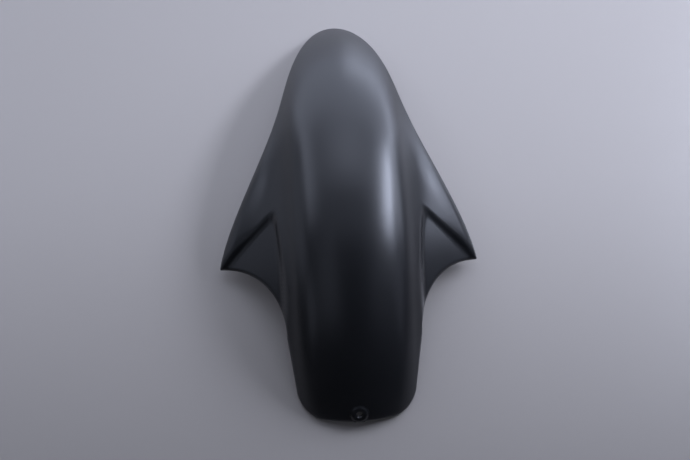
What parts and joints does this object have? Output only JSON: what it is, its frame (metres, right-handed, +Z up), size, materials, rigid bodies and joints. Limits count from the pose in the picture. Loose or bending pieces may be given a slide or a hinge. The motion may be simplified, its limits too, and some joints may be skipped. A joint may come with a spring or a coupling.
{
  "type": "motorbike front mudguard",
  "caption": "Moulded front mudguard with a leaf-shaped nose, flared side wings with sunk recesses behind their ridges, a rounded rear tongue with a fixing boss, and fork ears under the wings.",
  "frame": {"origin": "on the surface it rests on, under the middle of the part's box", "axes": "+Y forward to the nose, +X to the part's right when facing forward, +Z up"},
  "size_m": [0.2652, 0.4582, 0.103],
  "materials": {
    "shell": "matte black moulded plastic with a soft sheen"
  },
  "bodies": {
    "root": {"mudguard": "shell"}
  },
  "joints": []
}
